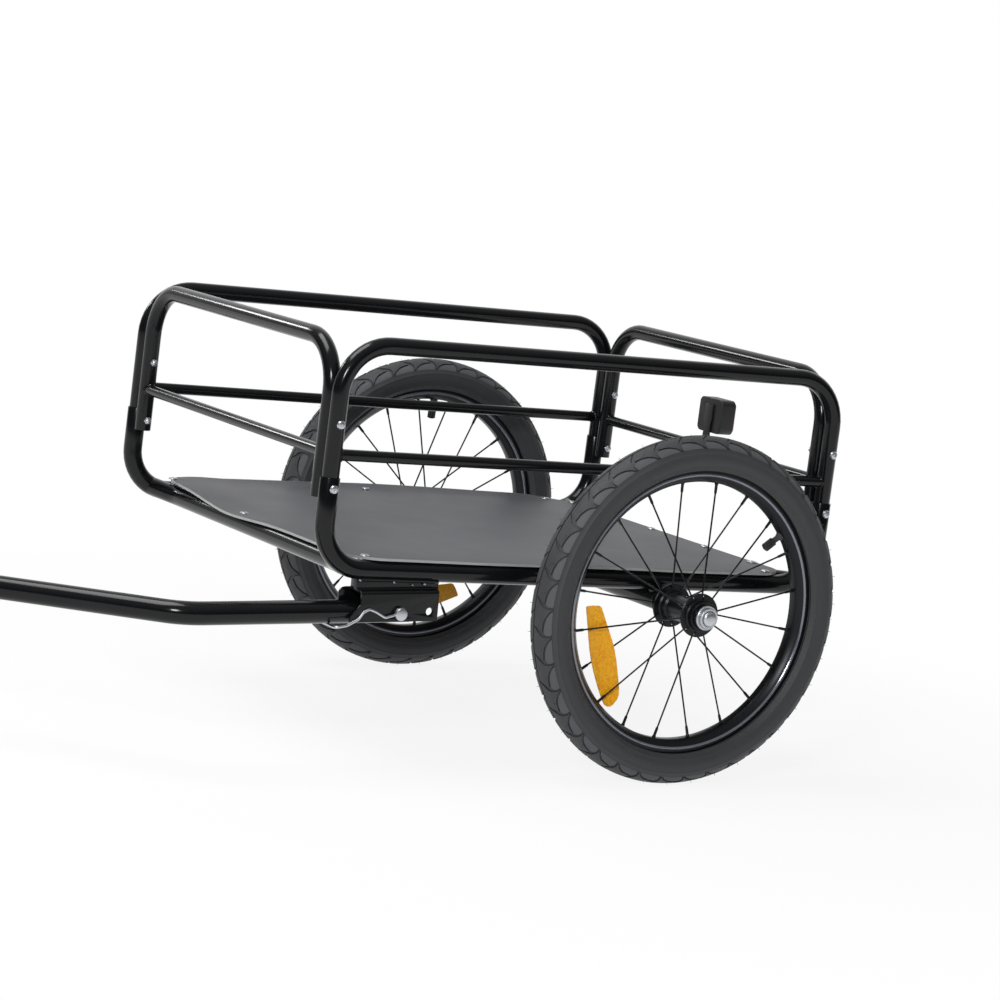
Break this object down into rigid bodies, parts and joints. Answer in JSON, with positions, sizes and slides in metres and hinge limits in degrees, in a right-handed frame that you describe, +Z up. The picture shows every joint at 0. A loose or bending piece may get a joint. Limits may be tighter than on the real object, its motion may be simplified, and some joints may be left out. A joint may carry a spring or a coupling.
{
  "type": "bicycle cargo trailer",
  "caption": "Bicycle cargo trailer: bent-tube cage round a flat deck, spoked wheels on push-button axles and a side drawbar pinned in a folded bracket.",
  "frame": {"origin": "middle of the top face of the deck board", "axes": "+X to the rear of the trailer, +Y to its right, +Z up, with the deck level"},
  "size_m": [1.3722, 0.724, 0.4717],
  "materials": {
    "black_paint": "gloss black powder coat",
    "deck_sheet": "matt dark grey sheet",
    "bright_zinc": "bright zinc plate",
    "spring_wire": "bright spring wire",
    "tyre_rubber": "moulded black rubber",
    "tube_rubber": "smooth black butyl",
    "black_alloy": "black anodised",
    "black_steel": "black hub and black spokes",
    "bearing_steel": "ground bearing steel",
    "black_plastic": "fine grained black",
    "amber_plastic": "moulded amber prism",
    "red_plastic": "moulded dark red prism"
  },
  "bodies": {
    "frame": {"left_lower_tube": "black_paint", "right_lower_tube": "black_paint", "left_side_hoop": "black_paint", "right_side_hoop": "black_paint", "front_panel": "black_paint", "rear_panel": "black_paint", "front_crossbar": "black_paint", "rear_crossbar": "black_paint", "axle_cross_tube": "black_paint", "deck_board": "deck_sheet", "front_left_upper_bolt": "bright_zinc", "front_left_lower_bolt": "bright_zinc", "front_right_upper_bolt": "bright_zinc", "front_right_lower_bolt": "bright_zinc", "rear_left_upper_bolt": "bright_zinc", "rear_left_lower_bolt": "bright_zinc", "rear_right_upper_bolt": "bright_zinc", "rear_right_lower_bolt": "bright_zinc", "hitch_bracket": "black_paint", "drawbar": "black_paint", "hitch_pin": "bright_zinc", "coupling_tongue": "bright_zinc", "upright_pin": "bright_zinc", "reflector_strap": "black_plastic", "reflector_housing": "black_plastic", "reflector_lens": "red_plastic", "left_stub_axle": "bright_zinc", "right_stub_axle": "bright_zinc", "left_button_spring": "spring_wire", "right_button_spring": "spring_wire"},
    "left_wheel": {"left_tyre": "tyre_rubber", "left_inner_tube": "tube_rubber", "left_rim": "black_alloy", "left_spoked_hub": "black_steel", "left_outer_bearing": "bearing_steel", "left_inner_bearing": "bearing_steel", "left_valve_cap": "black_plastic", "left_wheel_reflector": "amber_plastic"},
    "right_wheel": {"right_tyre": "tyre_rubber", "right_inner_tube": "tube_rubber", "right_rim": "black_alloy", "right_spoked_hub": "black_steel", "right_outer_bearing": "bearing_steel", "right_inner_bearing": "bearing_steel", "right_valve_cap": "black_plastic", "right_wheel_reflector": "amber_plastic"},
    "left_button": {"left_release_button": "bright_zinc"},
    "right_button": {"right_release_button": "bright_zinc"},
    "bail": {"pin_bail": "spring_wire"},
    "yoke": {"coupling_yoke": "black_paint", "cross_pin": "bright_zinc"},
    "axle_plate": {"axle_plate": "bright_zinc"}
  },
  "joints": [
    {"name": "left_wheel_spin", "type": "hinge", "parent": "frame", "child": "left_wheel", "pos_m": [0.1097, -0.3095, -0.0366], "axis": [0, 1, 0], "continuous": true},
    {"name": "right_wheel_spin", "type": "hinge", "parent": "frame", "child": "right_wheel", "pos_m": [0.1097, 0.3095, -0.0366], "axis": [0, 1, 0], "continuous": true},
    {"name": "left_button_press", "type": "slide", "parent": "frame", "child": "left_button", "axis": [0, 1, 0], "range_m": [0, 0.003], "stiffness_N_per_m": 400, "springref_m": -0.003, "deforming": ["left_button_spring"]},
    {"name": "right_button_press", "type": "slide", "parent": "frame", "child": "right_button", "axis": [0, -1, 0], "range_m": [0, 0.003], "stiffness_N_per_m": 400, "springref_m": -0.003, "deforming": ["right_button_spring"]},
    {"name": "bail_swing", "type": "hinge", "parent": "frame", "child": "bail", "pos_m": [-0.22935, -0.247, -0.0583], "axis": [0, 1, 0], "range_deg": [-90, 0]},
    {"name": "coupling_yaw", "type": "hinge", "parent": "frame", "child": "yoke", "pos_m": [-0.92334, -0.085, -0.08496], "axis": [-0.0384, 0, 0.9993], "range_deg": [-60, 60]},
    {"name": "axle_plate_pitch", "type": "hinge", "parent": "yoke", "child": "axle_plate", "pos_m": [-0.95751, -0.085, -0.08627], "axis": [0, 1, 0], "range_deg": [-45, 45]}
  ]
}
